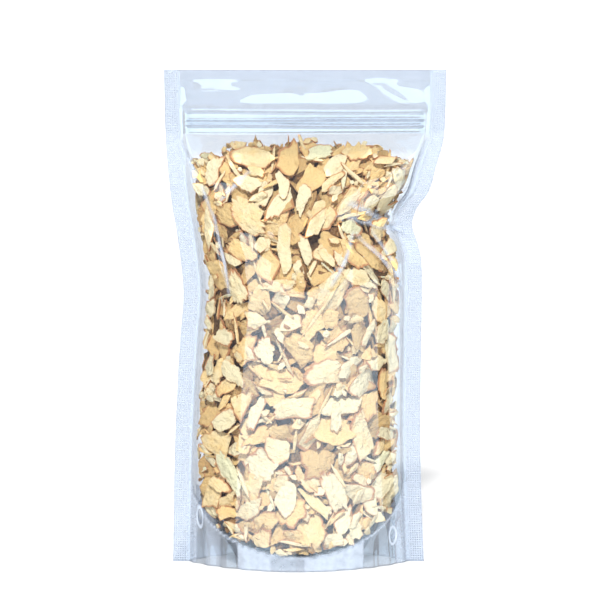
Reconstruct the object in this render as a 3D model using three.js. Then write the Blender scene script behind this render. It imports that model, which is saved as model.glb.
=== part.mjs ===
// A sealed clear stand-up pouch packed with slices of dried horseradish root.
// Units are millimetres and +Z is up. The pouch stands on its base, with the origin at the
// centre of the base. -Y is the front and +X is to the right of someone who faces it.
import * as THREE from "three";

// Driving dimensions of the pouch
const POUCH_HEIGHT = 230;
const SIDE_SEAL = 8.4; // width of each heat-sealed side band
const TOP_SEAL = 5;
const FREE_HALF = 57; // half the film's width between the side seals, measured along the film
const FILM = 0.4; // thickness the film is modelled at
const SEAL_OFFSET = 0.35; // from the mid-plane to the middle of either film in a seal

// The side edges seen from the front, as [height, x]. The load pulls them in below the zip, and
// the right edge has a sharp nip where its seal has buckled.
const LEFT_EDGE = [
  [0, -62.1], [51, -61], [88, -59.3], [106, -58.1], [128, -56.6], [156, -59.6],
  [170, -62], [199, -64.4], [POUCH_HEIGHT, -65],
];
const RIGHT_EDGE = [
  [0, 55.8], [33, 54.4], [69, 53.7], [105, 54.1], [141, 54], [149, 52.4], [158, 49.7],
  [166, 51.9], [174, 57.3], [185, 60.4], [199, 64], [POUCH_HEIGHT, 65],
];
// The right edge as it would run without the nip. It sets how round the pouch is.
const RIGHT_TREND = [
  [0, 55.8], [33, 54.4], [69, 53.7], [105, 54.1], [128, 54.8], [156, 57.4], [174, 60.2],
  [199, 64], [POUCH_HEIGHT, 65],
];
const NIP_HEIGHT = 158;
const NIP_DEPTH = 4; // how far the buckled right seal is pushed back
const NIP_REACH = 10;
const SEAL_SHARE = 0.4; // share of the film's half width where a seal's waves die out

// The press-to-close zip and the header above it
const ZIP_HEIGHT = 205.8; // middle of the rib
const ZIP_LOW = 200.8;
const ZIP_HIGH = 210.6;
const ZIP_OFFSET = 1.95; // from the mid-plane to either film at the zip
const ZIP_END = 0.985; // share of the film's half width at which the strips end
const ZIP_CLEAR = 1.5; // from there to the strips' cut ends
const HEADER_OFFSET = 0.9; // the same in the header above
const HEADER_EASE = 4; // height over which the films change from one to the other
const HEADER_CLOSE = 3; // height over which they meet below the top seal
const BELLY_TOP = 200; // the load starts to part the films below this
const BELLY_EASE = 20; // height over which they part

// The bottom gusset
const SKIRT_MIDDLE = 6.4; // height of the seal that holds the gusset, at the middle of the front
const SKIRT_SIDE = 38.7; // and at the side seals
const GUSSET_END = 0.96; // share of the film's half width at which the gusset ends
const KEEL_FLAT = 0.42; // share over which its fold lies flat on the surface
const KEEL_END = 36; // height of the fold at the side seals
const FLOOR_SHARE = 0.6; // share of the depth that lies flat
const EDGE_DEPTH = 0.85; // from the middle of a film to the gusset's edge beside it

// The root
const SLICE_THICKNESS = 1.1;
const SLICE_SPOKES = 12; // corners of a slice's outline
const SLICE_INNER = 0.55; // share of the way out to them of the points within the outline
const SLICE_RAGGED = { least: 0.88, spread: 0.16 }; // how far out the corners lie, as a share
const LAYER_DEPTHS = [1.6, 3.9]; // from the middle of the film to the middle of a slice
const FILL_DEPTH = 5.9; // from the film to the smaller pieces behind the slices
const FILL_SHARE = 0.6; // the same where the pouch is thin, as a share of its half depth
const FILL_TOP = 193.5;
const FILL_SHOULDER = 16; // how much lower its top would lie at the side seals
const FILL_END = 0.74; // share of the film's half width at which it ends
const FILL_LIFT = 4; // from the gusset's seal up to its lower edge
const FLOOR_LIFT = 1.7; // from the gusset's floor up to its underside
const FILL_LUMP = 0.5; // how far its lumps stand out
const FILL_HEAP = 1.5; // and how far its top rises and falls from side to side
const FILL_CROWN = 1.2; // how much higher its top is midway between the panels
const FILL_STATIONS = 15; // closed loops across the pouch
const FILL_DROPS = 12; // points down either wall of a loop
const FILL_FLOORS = [-0.66, -0.33, 0, 0.33, 0.66]; // and across its floor, from front to back

const FILM_LOOK = new THREE.MeshStandardMaterial({
  color: 0xdde7f2, roughness: 0.08, metalness: 0, transparent: true, opacity: 0.3,
});
const ZIP_LOOK = new THREE.MeshStandardMaterial({
  color: 0xe9f0f7, roughness: 0.2, metalness: 0, transparent: true, opacity: 0.6,
});
const SLICE_COLOURS = [0xf0e0b8, 0xe9d29e, 0xe8c48d, 0xefe3c6, 0xdfae74];
const FILL_LOOK = new THREE.MeshStandardMaterial({ color: 0xc69a5c, roughness: 0.9, metalness: 0 });

const clamp = THREE.MathUtils.clamp;
const smooth = THREE.MathUtils.smoothstep;

// A repeatable stream of numbers from 0 to 1.
function seeded(seed) {
  let state = seed * 7919 + 17;
  return () => {
    state = (state * 1664525 + 1013904223) % 4294967296;
    return state / 4294967296;
  };
}

// A smooth curve through [height, value] points, as a function of height: cubic pieces whose
// slope at each point is that of the line between its neighbours.
function curveThrough(points) {
  const last = points.length - 1;
  const slope = (i) => {
    const a = points[Math.max(i - 1, 0)];
    const b = points[Math.min(i + 1, last)];
    return (b[1] - a[1]) / (b[0] - a[0]);
  };
  return (height) => {
    const h = clamp(height, points[0][0], points[last][0]);
    let i = 0;
    while (i < last - 1 && h > points[i + 1][0]) i += 1;
    const [h0, v0] = points[i];
    const [h1, v1] = points[i + 1];
    const span = h1 - h0;
    const t = (h - h0) / span;
    const t2 = t * t;
    const t3 = t2 * t;
    return v0 * (2 * t3 - 3 * t2 + 1) + slope(i) * span * (t3 - 2 * t2 + t)
      + v1 * (3 * t2 - 2 * t3) + slope(i + 1) * span * (t3 - t2);
  };
}

const leftEdge = curveThrough(LEFT_EDGE);
const rightEdge = curveThrough(RIGHT_EDGE);
const rightTrend = curveThrough(RIGHT_TREND);

// The film keeps its width, so where the seals come closer it stands out as a round arc, and the
// nip moves its points sideways only. Returns the half distance between the seals, the arc's half
// angle, from sin(angle) / angle = chord / width, and its rise.
function section(z) {
  const chord = (rightEdge(z) - leftEdge(z)) / 2 - SIDE_SEAL;
  const even = (rightTrend(z) - leftEdge(z)) / 2 - SIDE_SEAL;
  const spare = Math.max(1 - even / FREE_HALF, 0.0005);
  const angle = Math.sqrt(6 * spare + 1.8 * spare * spare);
  const parting = z < BELLY_TOP ? Math.sin((Math.PI / 2) * Math.min((BELLY_TOP - z) / BELLY_EASE, 1)) : 0;
  return { chord, angle, rise: even * Math.tan(angle / 2) * parting };
}

// Half the space that the zip, or the air in the header, leaves between the films.
function headerOffset(z) {
  const overZip = smooth(z, ZIP_HIGH, ZIP_HIGH + HEADER_EASE);
  const inSeal = smooth(z, POUCH_HEIGHT - TOP_SEAL - HEADER_CLOSE, POUCH_HEIGHT - TOP_SEAL);
  const open = THREE.MathUtils.lerp(ZIP_OFFSET, HEADER_OFFSET, overZip);
  return THREE.MathUtils.lerp(open, SEAL_OFFSET, inSeal) - SEAL_OFFSET;
}

// A point on the middle of a film. side is -1 for the front and 1 for the back, and along is the
// distance from the film's centre line, measured along the film.
function filmPoint(side, along, z) {
  const { chord, angle, rise } = section(z);
  const share = clamp(along / FREE_HALF, -1, 1);
  const centre = (leftEdge(z) + rightEdge(z)) / 2;
  const past = along - share * FREE_HALF; // how far into the side seal
  const x = centre + (chord * Math.sin(angle * share)) / Math.sin(angle) + past;
  const arc = (Math.cos(angle * share) - Math.cos(angle)) / (1 - Math.cos(angle));
  const opened = Math.min((1 - Math.abs(share)) / (1 - ZIP_END), 1) * headerOffset(z);
  const nip = NIP_DEPTH * Math.exp(-(((z - NIP_HEIGHT) / NIP_REACH) ** 2));
  const wave = nip * smooth(share, SEAL_SHARE, 1);
  return new THREE.Vector3(x, wave + side * (SEAL_OFFSET + opened + rise * arc), z);
}

// The film's outward direction, square to its two slopes.
function filmNormal(side, along, z) {
  const step = 0.2;
  const across = filmPoint(side, along + step, z).sub(filmPoint(side, along - step, z));
  const upward = filmPoint(side, along, z + step).sub(filmPoint(side, along, z - step));
  return across.cross(upward).normalize().multiplyScalar(-side);
}

// The point at a depth behind the middle of a film.
function behindFilm(side, along, z, depth) {
  return filmPoint(side, along, z).addScaledVector(filmNormal(side, along, z), -depth);
}

// The film's place at a distance x from the pouch's centre, as a distance along the film.
function alongAt(x, z) {
  const { chord, angle } = section(z);
  const centre = (leftEdge(z) + rightEdge(z)) / 2;
  const sine = clamp(((x - centre) * Math.sin(angle)) / chord, -0.999, 0.999);
  return (FREE_HALF * Math.asin(sine)) / angle;
}

// A geometry from points and triangles, turned round if its faces point inwards.
function solid(points, triangles) {
  const volume = triangles.reduce((sum, [a, b, c]) => (
    sum + points[a].dot(points[b].clone().cross(points[c]))
  ), 0);
  const order = volume < 0 ? triangles.map(([a, b, c]) => [a, c, b]) : triangles;
  const geometry = new THREE.BufferGeometry().setFromPoints(points);
  geometry.setIndex(order.flat());
  geometry.computeVertexNormals();
  return geometry;
}

// Two triangles for the four-sided cell a, b, c, d.
const cell = (a, b, c, d) => [[a, b, c], [a, c, d]];

// A closed sheet of even thickness round a grid of middle points. place(i, j) gives the middle
// and the direction that the thickness is laid out in.
function closedSheet(columns, rows, thickness, place) {
  const front = [];
  const back = [];
  for (let j = 0; j < rows; j += 1) {
    for (let i = 0; i < columns; i += 1) {
      const { middle, outward } = place(i, j);
      front.push(middle.clone().addScaledVector(outward, thickness / 2));
      back.push(middle.clone().addScaledVector(outward, -thickness / 2));
    }
  }
  const at = (i, j) => j * columns + i;
  const shift = front.length;
  const triangles = [];
  for (let j = 0; j < rows - 1; j += 1) {
    for (let i = 0; i < columns - 1; i += 1) {
      const corners = [at(i, j), at(i + 1, j), at(i + 1, j + 1), at(i, j + 1)];
      triangles.push(...cell(...corners));
      triangles.push(...cell(...corners.map((k) => k + shift).reverse()));
    }
  }
  const rim = [];
  for (let i = 0; i < columns - 1; i += 1) rim.push(at(i, 0));
  for (let j = 0; j < rows - 1; j += 1) rim.push(at(columns - 1, j));
  for (let i = columns - 1; i > 0; i -= 1) rim.push(at(i, rows - 1));
  for (let j = rows - 1; j > 0; j -= 1) rim.push(at(0, j));
  rim.forEach((k, n) => {
    const next = rim[(n + 1) % rim.length];
    triangles.push(...cell(next, k, k + shift, next + shift));
  });
  return solid([...front, ...back], triangles);
}

function named(name, geometry, material) {
  const mesh = new THREE.Mesh(geometry, material);
  mesh.name = name;
  return mesh;
}

// Front and back film: one panel each, with its side seals, top seal and skirt.
const FILM_SHARES = [0, 0.2, 0.4, 0.6, 0.78, 0.92, ZIP_END, 1];
const FILM_HEIGHTS = [
  0, 10, 23, 42, 62, 84, 106, 124, 138, 147, 153, 158, 163, 169, 176, 183, 190, 196,
  ZIP_LOW, ZIP_HIGH, ZIP_HIGH + HEADER_EASE, POUCH_HEIGHT - TOP_SEAL, POUCH_HEIGHT,
];

function filmPanel(side) {
  const half = FILM_SHARES.map((share) => share * FREE_HALF).concat(FREE_HALF + SIDE_SEAL);
  const places = [...half.slice(1).reverse().map((along) => -along), ...half];
  return closedSheet(places.length, FILM_HEIGHTS.length, FILM, (i, j) => {
    const z = FILM_HEIGHTS[j];
    const outward = filmNormal(side, places[i], z);
    if (z === 0 || z === POUCH_HEIGHT) outward.setZ(0).normalize(); // cut square
    return { middle: filmPoint(side, places[i], z), outward };
  });
}

// The height of the seal line that joins the gusset to the film, a broad U.
function skirtHeight(share) {
  const drop = 1 - Math.sqrt(Math.max(1 - share * share, 0));
  return SKIRT_MIDDLE + (SKIRT_SIDE - SKIRT_MIDDLE) * drop ** 0.85;
}

// The gusset's middle surface. depth runs from -1 at the front film to 1 at the back film. It
// lies flat in the middle, and its fold climbs towards the side seals.
function gussetPoint(share, depth) {
  const edgeHeight = skirtHeight(share);
  const front = behindFilm(-1, share * FREE_HALF, edgeHeight, EDGE_DEPTH);
  const back = behindFilm(1, share * FREE_HALF, edgeHeight, EDGE_DEPTH);
  const point = front.lerp(back, (depth + 1) / 2);
  const keel = FILM / 2 + KEEL_END * smooth(Math.abs(share), KEEL_FLAT, GUSSET_END);
  const climb = Math.max((Math.abs(depth) - FLOOR_SHARE) / (1 - FLOOR_SHARE), 0);
  const sideways = smooth(Math.abs(share), KEEL_FLAT, GUSSET_END);
  const rise = THREE.MathUtils.lerp(climb ** 2, Math.abs(depth) ** 1.5, sideways);
  return point.setZ(keel + (edgeHeight - keel) * rise);
}

function bottomGusset() {
  const columns = 17;
  const rows = 11;
  const shareAt = (i) => GUSSET_END * Math.sin((Math.PI / 2) * (i / ((columns - 1) / 2) - 1));
  const depthAt = (j) => -1 + (2 * j) / (rows - 1);
  return closedSheet(columns, rows, FILM, (i, j) => {
    const share = shareAt(i);
    const depth = depthAt(j);
    const step = 0.01;
    const across = gussetPoint(share + step, depth).sub(gussetPoint(share - step, depth));
    const inward = gussetPoint(share, depth + step).sub(gussetPoint(share, depth - step));
    return { middle: gussetPoint(share, depth), outward: across.cross(inward).normalize() };
  });
}

// The zip's strips: a welded flange each, with a headed rib on the front one that snaps between
// two hooked lips on the back one. Profiles are [depth, height from the rib's middle].
const FLANGE_IN = 1.1;
const FLANGE_OUT = 1.45;
const RIB_PROFILE = [
  [-FLANGE_OUT, ZIP_LOW - ZIP_HEIGHT], [-FLANGE_IN, ZIP_LOW - ZIP_HEIGHT], [-FLANGE_IN, -0.5],
  [0.1, -0.5], [0.1, -0.9], [0.6, -0.6], [0.6, 0.6], [0.1, 0.9], [0.1, 0.5], [-FLANGE_IN, 0.5],
  [-FLANGE_IN, ZIP_HIGH - ZIP_HEIGHT], [-FLANGE_OUT, ZIP_HIGH - ZIP_HEIGHT],
];
const CHANNEL_PROFILE = [
  [FLANGE_OUT, ZIP_LOW - ZIP_HEIGHT], [FLANGE_OUT, ZIP_HIGH - ZIP_HEIGHT],
  [FLANGE_IN, ZIP_HIGH - ZIP_HEIGHT], [FLANGE_IN, 2], [-0.7, 2], [-0.7, 0.85], [-0.25, 0.85],
  [-0.25, 1.3], [FLANGE_IN, 1.3], [FLANGE_IN, -1.3], [-0.25, -1.3], [-0.25, -0.85],
  [-0.7, -0.85], [-0.7, -2], [FLANGE_IN, -2], [FLANGE_IN, ZIP_LOW - ZIP_HEIGHT],
];

function zipStrip(name, profile) {
  const length = 2 * (ZIP_END * FREE_HALF - ZIP_CLEAR);
  const outline = new THREE.Shape(profile.map(([y, z]) => new THREE.Vector2(y, z)));
  const geometry = new THREE.ExtrudeGeometry(outline, { depth: length, bevelEnabled: false });
  const [alongX, alongY, alongZ] = [0, 1, 2].map((n) => new THREE.Vector3().setComponent(n, 1));
  geometry.translate(0, 0, -length / 2);
  geometry.applyMatrix4(new THREE.Matrix4().makeBasis(alongY, alongZ, alongX));
  geometry.translate(0, 0, ZIP_HEIGHT);
  return named(name, geometry, ZIP_LOOK);
}

// One slice of root: a thin plate with a broken outline, slightly curled, laid behind the film.
// x and z are its middle, length and width its size, turn the angle of its length above +X,
// corner how square its outline is, and layer 0 or 1 how deep it lies. tilt and curl are the
// changes of depth from end to end and from middle to edge.
function slice(side, seed, { x, z, length, width, turn, corner = 2.6, layer = 0, tilt = 0, curl = 0.3,
  thickness = SLICE_THICKNESS }) {
  const random = seeded(seed);
  const middle = alongAt(x, z);
  const angle = THREE.MathUtils.degToRad(turn);
  const rim = [];
  for (let k = 0; k < SLICE_SPOKES; k += 1) {
    const a = ((k + 0.5 * random()) / SLICE_SPOKES) * 2 * Math.PI;
    const c = Math.abs(Math.cos(a)) ** corner;
    const s = Math.abs(Math.sin(a)) ** corner;
    const reach = (c + s) ** (-1 / corner) * (SLICE_RAGGED.least + SLICE_RAGGED.spread * random());
    rim.push([reach * Math.cos(a), reach * Math.sin(a)]);
  }
  const within = rim.map(([a, b]) => [SLICE_INNER * a, SLICE_INNER * b]);
  const local = [[0, 0], ...within, ...rim];
  const faces = { outer: [], inner: [] };
  local.forEach(([a, b]) => {
    const alongLength = (a * length) / 2;
    const alongWidth = (b * width) / 2;
    const along = middle + alongLength * Math.cos(angle) - alongWidth * Math.sin(angle);
    const height = z + alongLength * Math.sin(angle) + alongWidth * Math.cos(angle);
    const depth = LAYER_DEPTHS[layer] + (tilt * a) / 2 + curl * (b * b - 0.5);
    faces.outer.push(behindFilm(side, along, height, depth - thickness / 2));
    faces.inner.push(behindFilm(side, along, height, depth + thickness / 2));
  });
  const shift = local.length;
  const triangles = [];
  for (let k = 0; k < SLICE_SPOKES; k += 1) {
    const next = (k + 1) % SLICE_SPOKES;
    const near = [1 + k, 1 + next];
    const far = [1 + SLICE_SPOKES + k, 1 + SLICE_SPOKES + next];
    const patch = [[0, near[0], near[1]], ...cell(near[0], far[0], far[1], near[1])];
    triangles.push(...patch, ...patch.map(([a, b, c]) => [a + shift, c + shift, b + shift]));
    triangles.push(...cell(far[0], far[0] + shift, far[1] + shift, far[1]));
  }
  const look = new THREE.MeshStandardMaterial({
    color: SLICE_COLOURS[seed % SLICE_COLOURS.length], roughness: 0.85, metalness: 0,
  });
  return { geometry: solid([...faces.outer, ...faces.inner], triangles), look };
}

// The large slices that show through the front, from the top down.
const FRONT_SLICES = [
  { x: -23, z: 191.5, length: 25, width: 11, turn: -4, corner: 2.2 },
  { x: -42, z: 185, length: 17, width: 9, turn: 58 },
  { x: -27, z: 178.5, length: 15, width: 9, turn: -8, tilt: 0.4 },
  { x: 7, z: 193.5, length: 15, width: 7, turn: 14, corner: 2.2 },
  { x: 24, z: 192.5, length: 16, width: 7.5, turn: 2, layer: 0 },
  { x: 33, z: 181.5, length: 18, width: 6.5, turn: 33, layer: 1 },
  { x: 38.5, z: 171, length: 13, width: 7, turn: -82, corner: 4, curl: 0 },
  { x: 12, z: 180, length: 15, width: 6, turn: 36 },
  { x: -10, z: 178, length: 15, width: 7, turn: -62, tilt: -0.5 },
  { x: -0.5, z: 173, length: 18, width: 9, turn: 95, corner: 2.1 },
  { x: -26, z: 164.5, length: 28, width: 17, turn: -22, corner: 2.3 },
  { x: 20.5, z: 171, length: 13, width: 10, turn: 84, corner: 5 },
  { x: 30.5, z: 169.5, length: 9, width: 8, turn: 8, corner: 4 },
  { x: 22, z: 159, length: 13, width: 8, turn: -10, corner: 2 },
  { x: -45.5, z: 157, length: 26, width: 8, turn: 93, corner: 2 },
  { x: -30, z: 148, length: 17, width: 10.5, turn: -24, corner: 3.2 },
  { x: -9.5, z: 150, length: 23, width: 9, turn: 79, corner: 2.6 },
  { x: 0.5, z: 150, length: 17, width: 7, turn: 89, corner: 3 },
  { x: 31, z: 146, length: 15, width: 8, turn: -50, layer: 1 },
  { x: -32, z: 131, length: 22, width: 10, turn: -62, corner: 2.6, tilt: -0.4 },
  { x: -12.5, z: 133, length: 22, width: 5.5, turn: 10, corner: 3, thickness: 1.3 },
  { x: 26, z: 135, length: 20, width: 9.5, turn: -20, corner: 2.4 },
  { x: 12, z: 117, length: 15, width: 10, turn: -8, layer: 1 },
  { x: -24, z: 117, length: 13, width: 10, turn: -4 },
  { x: -19, z: 103, length: 14, width: 11, turn: -78, corner: 3.5 },
  { x: -38.5, z: 107, length: 14, width: 12, turn: 4, corner: 4 },
  { x: 36, z: 110, length: 14, width: 9, turn: 72, corner: 3 },
  { x: -34, z: 91, length: 16, width: 9, turn: -52 },
  { x: 10, z: 92, length: 22, width: 14, turn: 12, corner: 2.3 },
  { x: 37, z: 86, length: 15, width: 6, turn: 88, corner: 3.5 },
  { x: -5, z: 76.5, length: 26, width: 11.5, turn: 6, corner: 2.3 },
  { x: -38, z: 69, length: 18, width: 11, turn: 26, corner: 3 },
  { x: 27, z: 64, length: 36, width: 12.5, turn: -79, corner: 1.9, tilt: 0.5 },
  { x: -14, z: 57, length: 16, width: 12, turn: -20, layer: 0 },
  { x: -36, z: 46, length: 26, width: 12.5, turn: -66, corner: 2.3 },
  { x: 13.5, z: 37, length: 37, width: 10.5, turn: -63, corner: 2, tilt: -0.5 },
  { x: -9, z: 34, length: 17, width: 10, turn: 86, corner: 3 },
];

// The long thin splinter that lies aslant across the middle of the front.
const SPLINTER = {
  x: 7, z: 121, length: 40, width: 2.3, turn: 55, corner: 4, curl: 0, thickness: 1.6,
};

// The large slices against the back, one in each slot of a loose grid.
const BACK_ROWS = [38, 70, 102, 134, 165];
const BACK_COLUMNS = [-33, 0, 33];

function backSlices() {
  const random = seeded(5);
  return BACK_ROWS.flatMap((z) => BACK_COLUMNS.map((x) => ({
    x: x + 4 * (random() - 0.5),
    z: z + 5 * (random() - 0.5),
    length: 17 + 10 * random(),
    width: 9 + 5 * random(),
    turn: 180 * random(),
    corner: 1.9 + 2 * random(),
    tilt: 0.8 * (random() - 0.5),
  })));
}

// The smaller slices, splinters and crumbs, as one lumpy solid that fills the pouch between the
// large slices. Each station across the pouch is one closed loop: down behind the front film,
// over the gusset, up behind the back film and across the top.
function rootFill() {
  const lump = (x, z) => (
    FILL_LUMP * Math.sin(0.41 * x + 0.23 * z) * Math.sin(0.31 * z - 0.17 * x)
  );
  const points = [];
  let perLoop = 0;
  for (let i = 0; i < FILL_STATIONS; i += 1) {
    const share = FILL_END * Math.sin((Math.PI / 2) * ((2 * i) / (FILL_STATIONS - 1) - 1));
    const along = share * FREE_HALF;
    const heap = FILL_HEAP * Math.sin(0.35 * along);
    const top = FILL_TOP - FILL_SHOULDER * Math.abs(share) ** 3 + heap;
    const low = Math.max(skirtHeight(share), gussetPoint(share, 0).z) + FILL_LIFT;
    const wall = (side) => Array.from({ length: FILL_DROPS }, (_, k) => {
      const z = THREE.MathUtils.lerp(top, low, k / (FILL_DROPS - 1));
      const half = (filmPoint(1, along, z).y - filmPoint(-1, along, z).y) / 2;
      const thin = FILL_SHARE * half;
      return behindFilm(side, along, z, Math.min(FILL_DEPTH + lump(along, z), thin));
    });
    const front = wall(-1);
    const back = wall(1);
    const floor = FILL_FLOORS.map((depth) => {
      const point = front.at(-1).clone().lerp(back.at(-1), (depth + 1) / 2);
      return point.setZ(gussetPoint(share, depth).z + FLOOR_LIFT);
    });
    const crown = front[0].clone().lerp(back[0], 0.5).add(new THREE.Vector3(0, 0, FILL_CROWN));
    const loop = [...front, ...floor, ...back.reverse(), crown];
    perLoop = loop.length;
    points.push(...loop);
  }
  const triangles = [];
  for (let i = 0; i < FILL_STATIONS - 1; i += 1) {
    for (let k = 0; k < perLoop; k += 1) {
      const next = (k + 1) % perLoop;
      const here = i * perLoop;
      triangles.push(...cell(here + k, here + next, here + perLoop + next, here + perLoop + k));
    }
  }
  [0, FILL_STATIONS - 1].forEach((i) => {
    const loop = points.slice(i * perLoop, (i + 1) * perLoop);
    const hub = loop.reduce((sum, p) => sum.add(p), new THREE.Vector3()).divideScalar(perLoop);
    points.push(hub);
    for (let k = 0; k < perLoop; k += 1) {
      const pair = [i * perLoop + k, i * perLoop + ((k + 1) % perLoop)];
      if (i > 0) pair.reverse();
      triangles.push([points.length - 1, pair[1], pair[0]]);
    }
  });
  return solid(points, triangles);
}

const pouch = new THREE.Group();
pouch.add(
  named("front_film", filmPanel(-1), FILM_LOOK),
  named("back_film", filmPanel(1), FILM_LOOK),
  named("bottom_gusset", bottomGusset(), FILM_LOOK),
  zipStrip("zip_rib", RIB_PROFILE),
  zipStrip("zip_channel", CHANNEL_PROFILE),
);

const root = new THREE.Group();
root.add(named("root_fill", rootFill(), FILL_LOOK));
const numbered = (name, k) => `${name}_${String(k + 1).padStart(2, "0")}`;
FRONT_SLICES.forEach((form, k) => {
  const { geometry, look } = slice(-1, k + 1, form);
  root.add(named(numbered("front_slice", k), geometry, look));
});
backSlices().forEach((form, k) => {
  const { geometry, look } = slice(1, k + 101, form);
  root.add(named(numbered("back_slice", k), geometry, look));
});
const splinter = slice(-1, 61, SPLINTER);
root.add(named("front_splinter", splinter.geometry, splinter.look));

const part = new THREE.Group();
part.add(pouch, root);

export default part;
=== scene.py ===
"""A clear stand-up pouch, heat-sealed and packed with dried slices of horseradish root.

The sections work in millimetres, in the frame of the CAD solids: +Z is up, -Y is the front and the
origin is the centre of the base. Meshes are scaled to metres as they are made.
"""

import math

import bpy
import numpy as np
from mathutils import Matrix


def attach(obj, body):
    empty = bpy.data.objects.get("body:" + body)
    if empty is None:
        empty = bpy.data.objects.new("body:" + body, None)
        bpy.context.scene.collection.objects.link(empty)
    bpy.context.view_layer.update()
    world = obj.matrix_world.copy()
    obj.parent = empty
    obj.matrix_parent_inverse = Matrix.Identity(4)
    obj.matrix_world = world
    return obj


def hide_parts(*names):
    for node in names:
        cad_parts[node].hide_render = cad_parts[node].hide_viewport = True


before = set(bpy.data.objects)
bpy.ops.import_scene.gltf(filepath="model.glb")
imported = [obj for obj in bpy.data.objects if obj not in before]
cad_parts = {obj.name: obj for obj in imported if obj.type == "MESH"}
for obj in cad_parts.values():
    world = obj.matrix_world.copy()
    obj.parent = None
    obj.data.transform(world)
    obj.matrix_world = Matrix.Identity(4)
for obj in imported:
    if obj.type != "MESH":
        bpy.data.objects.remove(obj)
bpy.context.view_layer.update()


# The front and back panels. Each is one sheet of clear laminate about 0.12 mm thick. Heated bars
# have welded the two down the sides and across the top, and pressed a knurl into the side seals.
# The load rounds the sheets and draws the seals together, and the right edge is nipped inwards.
HEIGHT = 230
SEAL = 8.4  # the width of a side seal
FREE = 57  # half of the film's width between the side seals
FILM = 0.15  # the film's thickness
LEFT_EDGE = [  # the edges seen from the front, as (height, x)
    (0, -62.1), (51, -61), (88, -59.3), (106, -58.1), (128, -56.6), (156, -59.6), (170, -62),
    (199, -64.4), (230, -65),
]
RIGHT_EDGE = [
    (0, 55.8), (33, 54.4), (69, 53.7), (105, 54.1), (141, 54), (149, 52.4), (158, 49.7),
    (166, 51.9), (174, 57.3), (185, 60.4), (199, 64), (230, 65),
]
RIGHT_TREND = [  # the right edge as it would run without the nip
    (0, 55.8), (33, 54.4), (69, 53.7), (105, 54.1), (128, 54.8), (156, 57.4), (174, 60.2),
    (199, 64), (230, 65),
]
NIP_HEIGHT, NIP_REACH, NIP_DEPTH = 158, 10, 4
BELLY_TOP, BELLY_EASE = 200, 20  # where the load stops parting the panels, and how gently
SEAL_GAP = 0.35  # from the pouch's middle to a panel's, in the seals
ZIP_GAP, HEADER_DROP = 1.95, 1.05  # the same at the zip, and how much less it is above
ZIP_TOP, TOP_SEAL = 210.6, 225  # the heights where the zip ends and the top seal begins
SKIRT_MIDDLE, SKIRT_CLIMB = 6.4, 32.3  # the base seal's height, and its rise towards the sides


def ease(x, low, high):
    """0 below low and 1 above high, with a smooth rise between them: t * t * (3 - 2 * t)."""
    t = np.clip((x - low) / (high - low), 0, 1)
    return t * t * (3 - 2 * t)


def edge(points, z):
    """A smooth curve through (height, x) points: cubic pieces whose slope at each point is that
    of the line between its neighbours."""
    p = np.array(points, float)
    z = np.clip(z, p[0, 0], p[-1, 0])
    ends = np.vstack([p[:1], p, p[-1:]])
    slope = (ends[2:, 1] - ends[:-2, 1]) / (ends[2:, 0] - ends[:-2, 0])
    i = np.clip(np.searchsorted(p[:, 0], z, side="right") - 1, 0, len(p) - 2)
    span = p[i + 1, 0] - p[i, 0]
    t = (z - p[i, 0]) / span
    return (
        p[i, 1] * (2 * t**3 - 3 * t**2 + 1)
        + slope[i] * span * (t**3 - 2 * t**2 + t)
        + p[i + 1, 1] * (3 * t**2 - 2 * t**3)
        + slope[i + 1] * span * (t**3 - t**2)
    )


def section(z):
    """The arc of either panel at a height: its centre, half chord and half angle, and how far it
    stands out. The film keeps its width, so closer seals make a rounder arc, with
    sin(angle) / angle = chord / width and a rise of chord * tan(angle / 2), but the nip moves its
    points sideways only."""
    left, right = edge(LEFT_EDGE, z), edge(RIGHT_EDGE, z)
    chord = (right - left) / 2 - SEAL
    even = (edge(RIGHT_TREND, z) - left) / 2 - SEAL
    spare = np.maximum(1 - even / FREE, 0.0005)
    angle = np.sqrt(6 * spare + 1.8 * spare**2)
    parting = np.sin(np.pi / 2 * np.clip((BELLY_TOP - z) / BELLY_EASE, 0, 1))
    return (left + right) / 2, chord, angle, even * np.tan(angle / 2) * parting


def film(side, along, z):
    """Points on the middle of a panel. side is -1 for the front and 1 for the back, and along is
    the distance from the centre line, measured over the film. On the arc, x is the centre plus
    chord * sin(angle * share) / sin(angle), and y follows the cosine of the same angle. The seals
    run on straight from its ends, and above the load the panels are as far apart as the zip
    holds them. The nip is a Gaussian that pushes the right edge back."""
    along, z = np.broadcast_arrays(np.asarray(along, float), np.asarray(z, float))
    centre, chord, angle, rise = section(z)
    share = np.clip(along / FREE, -1, 1)
    x = centre + chord * np.sin(angle * share) / np.sin(angle) + along - share * FREE
    arc = (np.cos(angle * share) - np.cos(angle)) / (1 - np.cos(angle))
    header = ZIP_GAP - HEADER_DROP * ease(z, ZIP_TOP, ZIP_TOP + 4)
    header = header + (SEAL_GAP - header) * ease(z, TOP_SEAL - 3, TOP_SEAL) - SEAL_GAP
    opened = np.minimum((1 - np.abs(share)) / 0.015, 1) * header
    nip = NIP_DEPTH * np.exp(-(((z - NIP_HEIGHT) / NIP_REACH) ** 2)) * ease(share, 0.4, 1)
    return np.stack([x, nip + side * (SEAL_GAP + opened + rise * arc), z], -1)


def behind(side, along, z, depth):
    """Points at a depth behind a panel, square to it: the cross product of its two tangents is
    the way out, and the depth goes the other way."""
    across = film(side, along + 0.2, z) - film(side, along - 0.2, z)
    upward = film(side, along, z + 0.2) - film(side, along, z - 0.2)
    normal = np.cross(across, upward) * -side
    normal /= np.linalg.norm(normal, axis=-1, keepdims=True)
    return film(side, along, z) - normal * np.asarray(depth)[..., None]


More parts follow.
